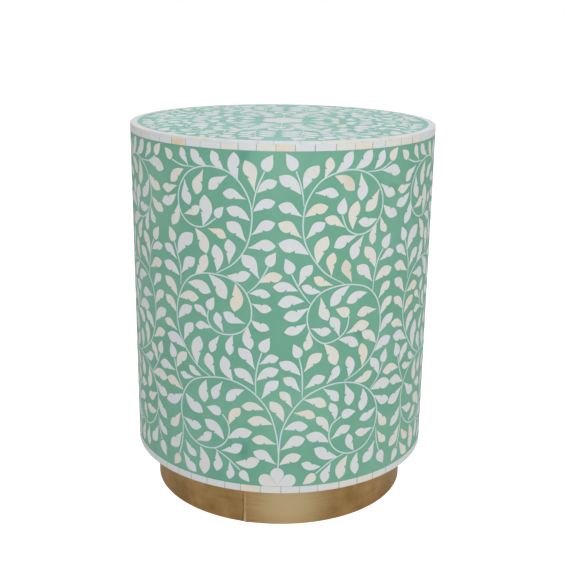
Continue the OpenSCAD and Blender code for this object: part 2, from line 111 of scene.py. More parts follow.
class Field:
    """What a node puts out. Sums with it add the nodes that work them out."""

    def __init__(self, tree, socket):
        self.tree, self.socket = tree, socket

    def math(self, operation, *others):
        sockets = dict(enumerate((self, *others)))
        return self.tree.node("ShaderNodeMath", sockets, operation=operation)

    def __add__(self, other):
        return self.math("ADD", other)

    def __sub__(self, other):
        return self.math("SUBTRACT", other)

    def __rsub__(self, other):
        return self.tree.node("ShaderNodeMath", {0: other, 1: self}, operation="SUBTRACT")

    def __mul__(self, other):
        return self.math("MULTIPLY", other)

    def __truediv__(self, other):
        return self.math("DIVIDE", other)

    __radd__ = __add__
    __rmul__ = __mul__


class Finish(Tree):
    """A material and the nodes that make it."""

    def __init__(self, name):
        self.material = bpy.data.materials.new(name)
        self.material.use_nodes = True
        super().__init__(self.material.node_tree)
        self.place = self.node("ShaderNodeTexCoord", output="Object")

    def noise(self, scale, detail=3.0, roughness=0.5, stretch=None, place=None):
        """Soft noise from 0 to 1 with `scale` lumps to the metre, stretched along each axis."""
        place = place or self.place
        if stretch:
            place = self.node("ShaderNodeMapping", {"Vector": place, "Scale": stretch})
        sockets = {"Vector": place, "Scale": scale, "Detail": detail, "Roughness": roughness}
        return self.node("ShaderNodeTexNoise", sockets)

    def distance(self, point, place=None):
        sockets = {0: place or self.place, 1: point}
        return self.node("ShaderNodeVectorMath", sockets, "Value", operation="DISTANCE")

    def steps(self, value, low, high, start=0.0, stop=1.0):
        """value taken from low..high to start..stop, with soft ends."""
        sockets = {0: value, 1: low, 2: high, 3: start, 4: stop}
        return self.node("ShaderNodeMapRange", sockets, interpolation_type="SMOOTHSTEP")

    def surface(self, **sockets):
        """The Principled surface. Sockets are given by name, with _ for a space."""
        named = {name.replace("_", " "): value for name, value in sockets.items()}
        shader = self.node("ShaderNodeBsdfPrincipled", named)
        self.node("ShaderNodeOutputMaterial", {"Surface": shader})
        return self.material

    def bump(self, height, distance, strength=1.0):
        """A normal for a surface that is rough by `distance` metres."""
        sockets = {"Height": height, "Distance": distance, "Strength": strength}
        return self.node("ShaderNodeBump", sockets)


def colour(red, green, blue):
    """A colour of a screen, 0 to 255, as a node wants it."""
    seen = [c / 255 for c in (red, green, blue)]
    return (*(c / 12.92 if c < 0.04045 else ((c + 0.055) / 1.055) ** 2.4 for c in seen), 1)


# Floor: a plain white studio floor that runs out of view and takes the table's shadow. Its glow,
# which only the camera sees, makes it white.
floor_size, floor_middle, floor_glow = 40, (0, 8, 0), 0.78
bpy.ops.mesh.primitive_plane_add(size=floor_size, location=floor_middle)
floor = bpy.context.object
floor.name = "floor"
studio_white = bpy.data.materials.new("studio_white")
studio_white.use_nodes = True
white = Tree(studio_white.node_tree)
path = white.node("ShaderNodeLightPath", output="Is Camera Ray")
glow = white.node("ShaderNodeEmission", {"Color": (1, 1, 1, 1), "Strength": path * floor_glow})
matt = white.node("ShaderNodeBsdfDiffuse", {"Color": colour(236, 236, 236)})
both = white.node("ShaderNodeAddShader", {0: glow, 1: matt})
white.node("ShaderNodeOutputMaterial", {"Surface": both})
floor.data.materials.append(studio_white)

# Studio light: one broad lamp in front, a warmer one on each side, one overhead, and an even pale
# room that the camera and the glossy faces see as white.
even, warm = (0.98, 1.0, 1.0), (1.0, 0.94, 0.85)
lamp_aim = Vector((0, 0, 0.3))
room_level = 0.42
# Each lamp's place, width in metres, watts and colour.
lamps = [((0.25, -2.3, 1.5), 1.5, 23.8, even), ((-1.6, -1.2, 1.4), 1.2, 7.8, warm),
         ((1.7, -1.2, 1.2), 1.2, 10.5, warm), ((0.2, 0.7, 2.4), 1.6, 15.5, even)]
for lamp_place, *settings in lamps:
    light = bpy.data.lights.new("lamp", "AREA")
    light.size, light.energy, light.color = settings
    lamp = new_object("lamp", light)
    lamp.location = lamp_place
    lamp.rotation_euler = (lamp_aim - lamp.location).to_track_quat("-Z", "Y").to_euler()
room = bpy.data.worlds.new("room")
room.use_nodes = True
bpy.context.scene.world = room
air = Tree(room.node_tree)
seen, glossy, clear = (air.node("ShaderNodeLightPath", output=f"Is {kind} Ray")
                       for kind in ("Camera", "Glossy", "Transmission"))
shown = seen.math("MAXIMUM", glossy.math("MAXIMUM", clear))
room_light = air.node("ShaderNodeBackground", {
    "Color": (1, 1, 1, 1), "Strength": room_level + shown * (1 - room_level)})
air.node("ShaderNodeOutputWorld", {"Surface": room_light})


# Boards: the top and bottom of the drum and the top and base of the plinth, cut from 18 and
# 12 mm board, and the ring between. They are hidden, but for the undersides round the feet.
def board_finish(name, pale, dark, along=(1, 1, 1), rings=14):
    """Sawn wood: grain along one axis, with darker rings and fine pores."""
    wood = Finish(name)
    grain = wood.noise(rings, 5, 0.6, along)
    pores = wood.noise(420, 2, 0.5, along)
    body = wood.mix(wood.steps(grain, 0.35, 0.68), pale, dark)
    body = wood.mix(wood.steps(pores, 0.58, 0.75) * 0.35, body, dark)
    rough = 0.62 + grain * 0.2
    return wood.surface(Base_Color=body, Roughness=rough, Normal=wood.bump(pores, 0.0003, 0.5))


def dress(material, *nodes):
    """Gives CAD parts their finish and leaves their shape."""
    for name in nodes:
        part = frame["nodes"][name]
        part.data.materials.clear()
        part.data.materials.append(material)


board_wood = board_finish("board_wood", colour(214, 186, 146), colour(176, 142, 100), (1, 9, 1))
dress(board_wood, "top_board", "bottom_board", "former_ring", "plinth_top", "plinth_base")

# Battens and corner blocks: eight uprights and four short blocks of sawn mango wood, screwed and
# glued between the boards of drum and plinth.
batten_wood = board_finish("batten_wood", colour(186, 142, 96), colour(138, 96, 60), (6, 6, 0.5), 22)
dress(batten_wood, *(f"batten_{k}" for k in range(1, 9)), "plinth_blocks")

# Skin and hoop: thin plywood, bent around the drum in two halves that are pinned to the battens,
# and around the plinth in one hoop.
plywood = board_finish("bent_plywood", colour(206, 176, 134), colour(170, 134, 92), (1, 1, 14), 16)
dress(plywood, "skin_front", "skin_back", "plinth_hoop")

# Screws and panel pins: bright zinc-plated steel. The screws are countersunk in the boards, and
# the pins go through the skin into the battens.
steel = Finish("zinc_steel")
scuffs = steel.noise(900)
steel.surface(Base_Color=colour(196, 196, 200), Metallic=1.0, Roughness=0.28 + scuffs * 0.2)
dress(steel.material, "skin_pins", "top_screws", "bottom_screws", "plinth_screws", "block_screws")


# Felt pads: four discs of dark felt, let into the base board, that the table stands on. Their
# lower rims are soft and worn round.
def mesh_of(made, name):
    """The mesh that was made, with doubles merged and faces turned out."""
    bmesh.ops.remove_doubles(made, verts=made.verts, dist=1e-6)
    bmesh.ops.dissolve_degenerate(made, edges=made.edges, dist=1e-7)
    bmesh.ops.recalc_face_normals(made, faces=made.faces)
    mesh = bpy.data.meshes.new(name)
    made.to_mesh(mesh)
    made.free()
    return mesh


def closed(made, name, material, sharp=40):
    """A piece of the closed shape, smooth up to `sharp` degrees."""
    mesh = mesh_of(made, name)
    mesh.shade_smooth()
    mesh.set_sharp_from_angle(angle=math.radians(sharp))
    mesh.materials.append(material)
    return new_object(name, mesh)


def upright(made, outline, turn, middle=(0, 0)):
    """Points of a (radius, height) outline that stands at a turn about an upright axis."""
    x, y = math.cos(turn), math.sin(turn)
    return [made.verts.new((middle[0] + r * x, middle[1] + r * y, z)) for r, z in outline]


def joined(made, rings):
    """Faces between the rings of points, but for the axis, where they are one."""
    for here, after in zip(rings, rings[1:]):
        for j in range(len(here)):
            n = (j + 1) % len(here)
            if (here[j].co, here[n].co) != (after[j].co, after[n].co):
                made.faces.new((here[j], after[j], after[n], here[n]))


def turned(made, outline, steps, middle=(0, 0)):
    """Spins a closed (radius, height) outline about an upright axis."""
    rounds = [upright(made, outline, math.tau * k / steps, middle) for k in range(steps)]
    joined(made, [*rounds, rounds[0]])


pads_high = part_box("felt_pads")[1]
pad_r, pad_steps = 0.012, 48
pad_reach = pads_high.x - pad_r
pad_outline = [(0, 0.0001), (0.0085, 0), (0.0103, 0.0002), (0.0114, 0.0008), (0.01185, 0.0018),
               (0.0119, pads_high.z), (0, pads_high.z)]
pads = bmesh.new()
for x_side in (-1, 1):
    for y_side in (-1, 1):
        turned(pads, pad_outline, pad_steps, (x_side * pad_reach, y_side * pad_reach))
felt = Finish("dark_felt")
fibres = felt.noise(1400, 4, 0.7)
tufts = felt.noise(260)
felt_colour = felt.mix(fibres, colour(38, 36, 34), colour(84, 80, 76))
felt.surface(Base_Color=felt_colour, Roughness=0.97, Normal=felt.bump(fibres + tufts, 0.0006))


def keep(piece, slot, *nodes):
    """The piece rides on the table and stands for the CAD nodes, which it hides. slot is not used."""
    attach(piece, "root")
    if nodes:
        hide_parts(*nodes)


keep(closed(pads, "felt_discs", felt.material), "felt", "felt_pads")


# Brass: one sheet of aged brass bent around the plinth. It closes at the front left, where its
# end runs straight out of the round over its start, with one corner lifted at the foot.
def heights(node):
    """The heights that a CAD node lies between."""
    return [corner.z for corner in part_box(node)]


band_low, band_high = heights("brass_band")
brass_t, lap_w = 0.0008, 0.016
hoop_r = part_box("plinth_hoop")[1].x
lap_angle, lap_turn = math.radians(255.5), lap_w / hoop_r
lift, lift_w, lift_h = 0.0007, 0.006, 0.009
row_shares = (0, 0.03, 0.08, 0.15, 0.35, 0.6, 0.85, 0.985, 1)
band_rows = [band_low + (band_high - band_low) * share for share in row_shares]
# Turns on from the lap's open edge where the sheet has points, closer together near it.
near_step, near_steps, far_steps = 0.006, 18, 340
far_start = near_step * near_steps
band_turns = [near_step * k for k in range(near_steps)]
band_turns += [far_start + (math.tau - far_start) * k / far_steps for k in range(far_steps + 1)]


def brass_face(turn, z):
    """Radius of the sheet's outer face, `turn` on from the lap's open edge."""
    rise = brass_t * max(0, 1 - turn / lap_turn) ** 1.3
    corner = max(0, 1 - turn * hoop_r / lift_w) * max(0, 1 - (z - band_low) / lift_h)
    return hoop_r + brass_t + rise + lift * corner


def capped(made, rings):
    """Faces between the rings of points, and over the first ring and the last."""
    joined(made, rings)
    made.faces.new(rings[0])
    made.faces.new(rings[-1][::-1])


band = bmesh.new()
columns = []
for turn in band_turns:
    outer = [(brass_face(turn, z), z) for z in band_rows]
    column = [(hoop_r, band_low), *outer, (hoop_r, band_high)]
    columns.append(upright(band, column, lap_angle + turn))
capped(band, columns)
brass = Finish("aged_brass")
clouds = brass.noise(26, 4, 0.62)
speckle = brass.noise(150, 4, 0.7)
brushing = brass.noise(60, 3, 0.6, (0.35, 0.35, 22))
# Painted highlight: a pale patch in front, right of the lap, where the brass is painted lighter as
# though it caught the lamps.
off_painted_highlight = brass.distance((0.012, -0.172, 0.028))
worn_and_painted_highlight = brass.steps(off_painted_highlight + (clouds - 0.5) * 0.04 + (brushing - 0.5) * 0.03, 0.07, 0.012)
tone = brass.steps(clouds, 0.32, 0.7)
brass_colour = brass.mix(tone, colour(152, 122, 77), colour(184, 151, 101))
brass_colour = brass.mix(brass.steps(brushing, 0.45, 0.8) * 0.3, brass_colour, colour(120, 92, 54))
brass_colour = brass.mix(worn_and_painted_highlight * 0.8, brass_colour, colour(206, 186, 146))
flat_place = brass.node("ShaderNodeVectorMath", {0: brass.place, 1: (1, 1, 0)}, operation="MULTIPLY")
lap_z = brass.node("ShaderNodeSeparateXYZ", {0: brass.place}, output="Z")
lap_r = hoop_r + 2 * brass_t
faded = brass.steps(lap_z, 0.06, 0.02, 0.3, 1.0)
# A painted shadow beside the lap's edge and a painted highlight on it, both fainter higher up.
for step, reach, share, shade in ((-0.0021, 0.0024, 0.5, colour(104, 80, 46)),
                                  (0.0, 0.0016, 0.75, colour(214, 188, 142))):
    turn = lap_angle + step / hoop_r
    off_lap = brass.distance((lap_r * math.cos(turn), lap_r * math.sin(turn), 0), flat_place)
    on_lap = brass.steps(off_lap + (clouds - 0.5) * 0.006 + (speckle - 0.5) * 0.002, reach, 0.0004)
    brass_colour = brass.mix(on_lap * faded * share, brass_colour, shade)
brass_rough = 0.34 + brushing * 0.12 + speckle * 0.1
brass_skin = brass.bump(brushing + clouds * 3, 0.00025, 0.6)
brass.surface(Base_Color=brass_colour, Metallic=1.0, Roughness=brass_rough, Normal=brass_skin)
keep(closed(band, "brass_sheet", brass.material, 30), "brass", "brass_band")

# Resin of the side: green polyester resin poured around the bone and ground flush with it, with
# soft clouds where it was mixed and a few darker smudges.
drum_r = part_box("bottom_tiles")[1].x
wood_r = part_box("skin_back")[1].x
field_low, field_high = heights("resin_front")
side_sink, drum_steps = 0.0001, 360
resin_r = drum_r - side_sink


def resin_finish(name, body, light, dark, rough, spots=()):
    """Poured resin: clouds of a lighter and a darker green, pinholes, and a rubbed polish."""
    resin = Finish(name)
    clouds = resin.noise(9, 4, 0.6)
    wisps = resin.noise(34, 4, 0.65, (1, 1, 0.6))
    grit = resin.noise(420, 3, 0.6)
    smudge = resin.noise(15, 2)
    made = resin.mix(resin.steps(clouds, 0.4, 0.68), body, light)
    made = resin.mix(resin.steps(wisps, 0.5, 0.78) * 0.5, made, light)
    made = resin.mix(resin.steps(smudge, 0.64, 0.76) * 0.55, made, dark)
    made = resin.mix(resin.steps(grit, 0.62, 0.8) * 0.3, made, dark)
    for spot in spots:
        shadow = resin.steps(resin.distance(spot) + (wisps - 0.5) * 0.02, 0.013, 0.003)
        made = resin.mix(shadow * 0.6, made, dark)
    polish = rough + wisps * 0.1 + grit * 0.06
    return resin.surface(Base_Color=made, Roughness=polish, Specular_IOR_Level=0.35,
                         Normal=resin.bump(wisps + grit, 0.00006))


# Darker smudges that show in front.
smudges = [(-0.045, -0.195, 0.484), (-0.045, -0.195, 0.115), (0.098, -0.174, 0.265)]
side_green = resin_finish("green_resin", colour(100, 157, 135), colour(112, 166, 145),
                          colour(72, 138, 122), 0.42, smudges)
side_shell = bmesh.new()
turned(side_shell, [(wood_r, field_low), (resin_r, field_low), (resin_r, field_high),
                    (wood_r, field_high)], drum_steps)
keep(closed(side_shell, "side_resin", side_green), "resin",
     "resin_front", "resin_right", "resin_back", "resin_left")

# Joint resin: the same resin, gone darker with grime, in the joints between the edge tiles. It
# stands a hair behind the faces of the tiles.
joint_sink = 0.0002
grime = resin_finish("joint_resin", colour(92, 138, 118), colour(128, 160, 144),
                     colour(54, 84, 74), 0.5)
joints = bmesh.new()
drum_low = heights("bottom_grout")[0]
for low, high in ((drum_low + joint_sink, field_low), heights("top_grout")):
    turned(joints, [(wood_r, low), (drum_r - joint_sink, low), (drum_r - joint_sink, high),
                    (wood_r, high)], drum_steps)
keep(closed(joints, "joint_rings", grime), "joint_resin", "bottom_grout", "top_grout")

# Bone: leaves and buds sawn from camel bone, glued to the drum and ground round with it when the
# resin has set. They are drawn flat, in millimetres, as one plant that repeats four times around
# the drum: u runs to the right from its stem and v up from the floor.
mm = 0.001
plant_w = 314.157
bone_t = 0.0022
leaf_proud = -0.00004
leaf_tone, leaf_narrow, slender_share = 0.94, 0.9, 0.45
top_turn = math.radians(-2.1)
# Leaves with their notch on the right, leaves with it on the left, and buds: where each starts
# and where its tip is.
notch_right = [
    [1, 99, 27.5, 111], [1.5, 119, 32, 134], [6, 147, 35.4, 150], [17.5, 169, 44.6, 162],
    [29, 186, 58.5, 175.5], [53.5, 199, 74, 180], [82.5, 202, 89.5, 171.5], [108.5, 191, 107, 161],
    [130, 161, 105, 149], [127, 134, 99, 133], [98, 109, 89, 133.5], [65.4, 129.6, 92, 143.5],
    [131, 115, 113, 88], [75, 104.5, 44, 120], [53, 94, 28, 100.5], [30, 200, 56, 214.5],
    [29, 222, 51, 245], [121, 186.5, 154.5, 189], [125, 236.5, 152, 251], [132.5, 260.5, 155, 281],
    [132.5, 284, 151, 304], [31, 283.5, 4.5, 273], [34.5, 275, 30.5, 249.5], [53.5, 256.5, 69.5, 228],
    [72, 260.5, 99.5, 249.5], [82, 267, 114.5, 275], [34.5, 303.5, 3.5, 291.5], [48, 322.5, 24.5, 331],
    [63, 329.5, 39, 341], [20.5, 330, 37, 356], [43, 357, 54.5, 390], [60.5, 340.5, 62.5, 370],
    [87.5, 331, 78, 360], [124.5, 463, 156.5, 457.5], [61.5, 460.5, 87, 442.5], [38, 441.5, 67, 438],
    [27, 413.5, 54.5, 425], [28, 387, 51.5, 406], [95, 462.5, 96.5, 429.5], [122.5, 441.5, 103.5, 416],
    [120.5, 405.5, 93.5, 404.5], [86.5, 396, 92, 429.5], [25, 446, 42.5, 473], [121, 328.5, 148.5, 341],
    [127, 353, 151, 362], [127.5, 305, 146.5, 324], [-64.5, 129.5, -33.5, 142],
    [-63, 149, -48.5, 172.5], [-22.5, 186.5, -1.5, 211], [-28, 210.5, -1.5, 225.5],
    [-25.5, 231.5, -1.5, 241], [-58, 208, -70.5, 238], [-81.5, 210, -91.5, 239], [-101, 207, -120, 217],
    [-112, 202, -134.5, 204], [-132, 175.5, -161.5, 160], [-135, 149, -155, 126],
    [-133.5, 122.5, -155.5, 97.5], [-62.5, 99, -63.5, 74], [-80, 111, -80.5, 82],
    [-104, 110.5, -98.5, 73.5], [-140.5, 209, -123.5, 233], [-107, 221, -103, 258.5],
    [-128, 247.5, -112.5, 273.5], [-136, 275, -114, 294.5], [-134, 302.5, -103.5, 307],
    [-119.5, 324, -86.5, 316.5], [-89, 338.5, -66.5, 310.5], [-55, 331, -56, 296], [-70, 268, -79, 293],
    [-42, 282, -70, 294], [-37, 320, -12, 318.5], [-25, 334, 2, 342.5], [-130, 333.5, -108.5, 356],
    [-135, 357.5, -111, 386], [-39.5, 375.5, -6.5, 378.5], [-35.5, 391, -7.5, 406.5],
    [-33, 419, -7.5, 431.5], [-28.5, 441, -5.5, 455], [-51.5, 454.5, -56, 487], [-68.5, 466, -84, 487],
    [-91, 469, -112.5, 486.5], [-116.5, 467, -127, 487.5], [-134, 441, -160.5, 436.5],
    [-136.5, 430.5, -162, 417.5], [-133, 419, -144, 392], [-107.5, 393, -91.5, 364],
    [-90, 395, -66, 385.5]]
notch_left = [
    [16, 175.5, 0, 197], [5, 157, -12, 184], [57.5, 204, 73, 227], [95, 202.5, 122, 211.5],
    [125.5, 178, 153.5, 165], [133.5, 155, 151, 131.5], [62.5, 126, 33, 137.5], [61.7, 140, 45.7, 162],
    [70.4, 155.4, 63.3, 179], [89, 104, 78, 73], [103.5, 105, 101.5, 75], [134.5, 127, 151, 108],
    [66.5, 98, 57.5, 71], [25.5, 196.5, 4, 215], [25, 218, -1, 235], [132.5, 205, 119, 229],
    [87, 210, 86.5, 237.5], [106, 221, 104, 251.5], [126, 248, 104, 266], [36.5, 277.5, 62, 272],
    [73, 264, 61, 290], [48, 316, 57.5, 286], [84.5, 327, 60.5, 303.5], [28, 311.5, -3.5, 308],
    [20, 324.5, -9.5, 329.5], [32, 368.5, -3.5, 382], [93.5, 388.5, 63, 375.5], [101.5, 388, 87, 359],
    [120, 398.5, 114.5, 374.5], [125.5, 408, 136, 387.5], [130, 421, 154, 406],
    [124, 447.5, 149, 431.5], [114, 465.5, 128, 487], [87.5, 467.5, 110, 488], [63, 464.5, 83.5, 488],
    [49, 457, 56, 482.5], [76.5, 399, 50.5, 411], [22, 440, -3.5, 461], [24, 414, -4, 427],
    [24, 388.5, -4, 406], [120, 345.5, 104, 373], [117, 328.5, 93.5, 350.5], [110, 315.5, 81, 306],
    [125.5, 292, 96, 289], [-3, 99.5, -32, 115.5], [-3, 127, -34, 132], [-8.5, 153.5, -39.5, 156],
    [-19, 172.5, -47, 175], [-43.5, 197, -67, 180], [-71.5, 205, -84, 179], [-94, 203, -97.5, 172],
    [-126.5, 178, -99.5, 158], [-131, 144.5, -102, 137.5], [-110, 117, -87.5, 133.5],
    [-70, 127, -97, 149.5], [-32, 204.5, -56.5, 223], [-30, 224.5, -51, 250.5],
    [-128.5, 113.5, -110.5, 95], [-132.5, 96, -111, 73], [-74, 111, -46, 123], [-55, 98.5, -24, 104.5],
    [-130, 181, -160, 190.5], [-143.5, 204, -174, 206], [-126, 238.5, -157.5, 250],
    [-138, 258.5, -162, 268], [-140, 282.5, -159, 301], [-137.5, 303.5, -159, 325],
    [-65, 340, -36, 344], [-35.5, 308, -10.5, 301.5], [-35, 287, -13, 276.5], [-39, 278.5, -35.5, 250],
    [-58, 266, -62, 240], [-75.5, 264, -87, 240], [-84.5, 272, -109, 271], [-92, 284, -110.5, 297],
    [-25.5, 338.5, -46.5, 366.5], [-133, 330.5, -160.5, 343], [-136.5, 350, -159, 366],
    [-62.5, 354, -63.5, 384.5], [-78, 344, -80.5, 376.5], [-108.5, 335.5, -92, 363],
    [-41, 382.5, -65.5, 404.5], [-37, 408, -65.5, 421], [-41.5, 433, -70, 438.5],
    [-64, 459.5, -88, 441.5], [-95, 464.5, -105, 433.5], [-122.5, 450.5, -115.5, 420],
    [-124, 408, -100.5, 420], [-96.5, 397.5, -94, 434.5], [-31.5, 442.5, -43, 478],
    [-123.5, 462, -145, 444.5]]
buds = [
    [79, 160, 99, 162], [23, 241, 15.5, 258.5], [140, 219, 144.5, 237.5], [139.5, 97, 148.5, 77.5],
    [45.5, 84, 30, 71.5], [85, 291, 67, 299.5], [12, 346, 4.5, 364.5], [133, 368, 144, 385],
    [71.5, 415, 74.5, 435], [15, 468.5, 4, 487], [139, 474, 151, 488], [-74, 162.5, -94, 167],
    [-22, 248, -12.5, 266], [-146, 221, -151, 240], [-139.5, 89, -149, 72.5], [-48, 87.5, -36.5, 73.5],
    [-90, 295, -82, 311], [-15.5, 355, -6, 371.5], [-142, 372, -149.5, 389.5], [-79, 409.5, -69, 422.5],
    [-20, 467, -10.5, 485.5], [-143, 472.5, -155, 484]]
# Outline of a leaf from its stalk to its tip: how far along, lower edge, upper edge. The notch
# is in the lower edge. One has a broad foot and the other a slender one.
broad_leaf = [(0, -0.004, 0.012), (0.1, -0.022, 0.095), (0.2, -0.042, 0.175), (0.3, -0.062, 0.24),
              (0.42, -0.098, 0.288), (0.455, -0.012, 0.298), (0.5, -0.082, 0.307),
              (0.57, -0.14, 0.31), (0.67, -0.168, 0.298), (0.77, -0.16, 0.258),
              (0.86, -0.117, 0.19), (0.94, -0.06, 0.1), (1, 0, 0.006)]
slender_leaf = [(0, -0.004, 0.01), (0.12, -0.022, 0.05), (0.24, -0.046, 0.11), (0.34, -0.066, 0.175),
                (0.44, -0.1, 0.232), (0.475, -0.016, 0.252), (0.525, -0.09, 0.276),
                (0.6, -0.145, 0.298), (0.7, -0.165, 0.295), (0.79, -0.15, 0.255),
                (0.88, -0.108, 0.18), (0.95, -0.052, 0.092), (1, 0, 0.006)]
bud_shape = [(0, -0.1, 0.08), (0.03, -0.18, 0.17), (0.1, -0.25, 0.28), (0.22, -0.3, 0.36),
             (0.36, -0.31, 0.385), (0.52, -0.265, 0.345), (0.68, -0.185, 0.255),
             (0.84, -0.085, 0.135), (1, 0, 0)]


shape_boxes = []


def shape_box(name):
    """A box for cut shapes. The trees take them from it by their order of name."""
    box = bpy.data.collections.new(name)
    bpy.context.scene.collection.children.link(box)
    shape_boxes.append(box)
    return box


def store(mesh, name, kind, values):
    """Keeps a value or a vector with each point of a mesh."""
    layer = mesh.attributes.new(name, kind, "POINT")
    layer.data.foreach_set("vector" if kind == "FLOAT_VECTOR" else "value", values)


def add_shape(box, name, made):
    """Puts a shape into its box, with its grain along it."""
    mesh = mesh_of(made, name)
    store(mesh, "grain", "FLOAT_VECTOR", [c for v in mesh.vertices for c in v.co])
    box.objects.link(bpy.data.objects.new(name, mesh))


def bone_shape(box, name, outline):
    """A flat piece of bone with its face at z = 0 and the outline's low and high edge."""
    made = bmesh.new()
    rows, feet = [], []
    for x, low, high in outline:
        rows.append([made.verts.new((x, y, 0)) for y in (low, low + (high - low) / 2, high)])
        feet.append([made.verts.new((x, y, -bone_t)) for y in (low, high)])
    for here, foot, after, foot_after in zip(rows, feet, rows[1:], feet[1:]):
        for j in range(2):
            made.faces.new((here[j], after[j], after[j + 1], here[j + 1]))
        made.faces.new((foot[0], foot[1], foot_after[1], foot_after[0]))
        made.faces.new((here[0], foot[0], foot_after[0], after[0]))
        made.faces.new((here[2], after[2], foot_after[1], foot[1]))
    made.faces.new([*rows[0], *feet[0][::-1]])
    made.faces.new([*rows[-1][::-1], *feet[-1]])
    add_shape(box, name, made)


leaf_shapes = shape_box("leaf_shapes")
for k, cut in enumerate((broad_leaf, slender_leaf, bud_shape)):
    bone_shape(leaf_shapes, f"leaf_shape_{2 * k}", cut)
    turned_over = [(x, -high, -low) for x, low, high in cut]
    bone_shape(leaf_shapes, f"leaf_shape_{2 * k + 1}", turned_over)


# Geometry Nodes set the pieces in: one shape on each drawn point, turned and stretched to its
# line, then bent from the flat drawing to the drum's face or the table's top.
class Inlay(Tree):
    """A Geometry Nodes tree with named inputs that bends flat pieces to a face."""

    def __init__(self, name, **inputs):
        super().__init__(bpy.data.node_groups.new(name, "GeometryNodeTree"))
        inputs.update(Radius="Float", Height="Float", Proud="Float", Finish="Material")
        sockets = self.nodes.interface
        for label, kind in inputs.items():
            sockets.new_socket(label, in_out="INPUT", socket_type="NodeSocket" + kind)
        sockets.new_socket("Pieces", in_out="OUTPUT", socket_type="NodeSocketGeometry")

    def given(self, label):
        """What a piece sets on an input."""
        return self.node("NodeGroupInput", output=label)

    def drawn(self, name, kind="FLOAT"):
        """What the drawing keeps with each point."""
        return self.node("GeometryNodeInputNamedAttribute", {"Name": name}, data_type=kind)

    def axes(self):
        """x, y and z of the flat drawing."""
        place = self.node("GeometryNodeInputPosition")
        return (self.node("ShaderNodeSeparateXYZ", {0: place}, output=axis) for axis in "XYZ")

    def point(self, x, y, z):
        return self.node("ShaderNodeCombineXYZ", {"X": x, "Y": y, "Z": z})

    def around(self, x, reach, z):
        """A point at that reach and height, x round from the front."""
        angle = x / self.given("Radius") - math.pi / 2
        return self.point(reach * angle.math("COSINE"), reach * angle.math("SINE"), z)

    def set_in(self, flat, bend):
        """Bends flat pieces to their face and gives them their finish."""
        solid = self.node("GeometryNodeRealizeInstances", {"Geometry": flat})
        bent = self.node("GeometryNodeSetPosition", {"Geometry": solid, "Position": bend(self)})
        sockets = {"Geometry": bent, "Material": self.given("Finish")}
        finished = self.node("GeometryNodeSetMaterial", sockets)
        self.node("NodeGroupOutput", {"Pieces": finished})
        return self.nodes


def inlay_tree(name, bend):
    """Sets a shape on each drawn point and bends it to its face."""
    tree = Inlay(name, Points="Geometry", Shapes="Collection")
    shapes = tree.node("GeometryNodeCollectionInfo", {
        "Collection": tree.given("Shapes"), "Separate Children": True, "Reset Children": True})
    placed = tree.node("GeometryNodeInstanceOnPoints", {
        "Points": tree.given("Points"), "Instance": shapes, "Pick Instance": True,
        "Instance Index": tree.drawn("shape", "INT"), "Rotation": tree.point(0, 0, tree.drawn("turn")),
        "Scale": tree.drawn("stretch", "FLOAT_VECTOR")})
    return tree.set_in(placed, bend)


def around_drum(tree):
    """x of the drawing runs round the drum, y up it and z out of its face."""
    x, y, z = tree.axes()
    return tree.around(x, z + tree.given("Radius") + tree.given("Proud"), y + tree.given("Height"))


def on_the_top(tree):
    """x and y of the drawing lie flat, turned a little to the right, and z is up."""
    x, y, z = tree.axes()
    cosine, sine = math.cos(top_turn), math.sin(top_turn)
    return tree.point(x * cosine - y * sine, x * sine + y * cosine,
                      z + tree.given("Height") + tree.given("Proud"))


def made_by(tree, source, name, slot, *nodes, **values):
    """Runs a tree on the source mesh and keeps the result as a plain piece for the CAD nodes."""
    piece = new_object(name, source)
    modifier = piece.modifiers.new("made", "NODES")
    modifier.node_group = tree
    for socket in tree.interface.items_tree:
        if socket.in_out == "INPUT" and socket.name in values:
            modifier[socket.identifier] = values[socket.name]
    depsgraph = bpy.context.evaluated_depsgraph_get()
    result = bpy.data.meshes.new_from_object(
        piece.evaluated_get(depsgraph), preserve_all_data_layers=True, depsgraph=depsgraph)
    piece.modifiers.remove(modifier)
    result.name = name
    piece.data = result
    result.shade_smooth()
    result.set_sharp_from_angle(angle=math.radians(35))
    keep(piece, slot, *nodes)


def drawn_points(rows):
    """A mesh of points from rows of x, y, shape, turn, length, width and tone, in metres."""
    mesh = bpy.data.meshes.new("drawn")
    mesh.from_pydata([(x, y, 0) for x, y, *_ in rows], [], [])
    _, _, shapes, turns, _, _, tones = zip(*rows)
    store(mesh, "tone", "FLOAT", tones)
    store(mesh, "shape", "INT", shapes)
    store(mesh, "turn", "FLOAT", turns)
    store(mesh, "stretch", "FLOAT_VECTOR", [c for row in rows for c in (*row[4:6], 1)])
    return mesh


def plant_rows(right, left, ends, chance, shift=0.0):
    """Rows of drawn_points for leaves and buds. A bud's rounder edge is the upper one."""
    rows = []
    for kind, lines in enumerate((right, left, ends)):
        for u0, v0, u1, v1 in lines:
            length = math.hypot(u1 - u0, v1 - v0) * mm
            width = length * chance.uniform(leaf_narrow, 1)
            if kind < 2:
                shape = kind + (2 if chance.random() < slender_share else 0)
            else:
                shape = 4 if (u1 - u0) * (v1 - v0) > 0 else 5
            turn, tone = math.atan2(v1 - v0, u1 - u0), chance.uniform(0, leaf_tone)
            rows.append((u0 * mm + shift, v0 * mm, shape, turn, length, width, tone))
    return rows


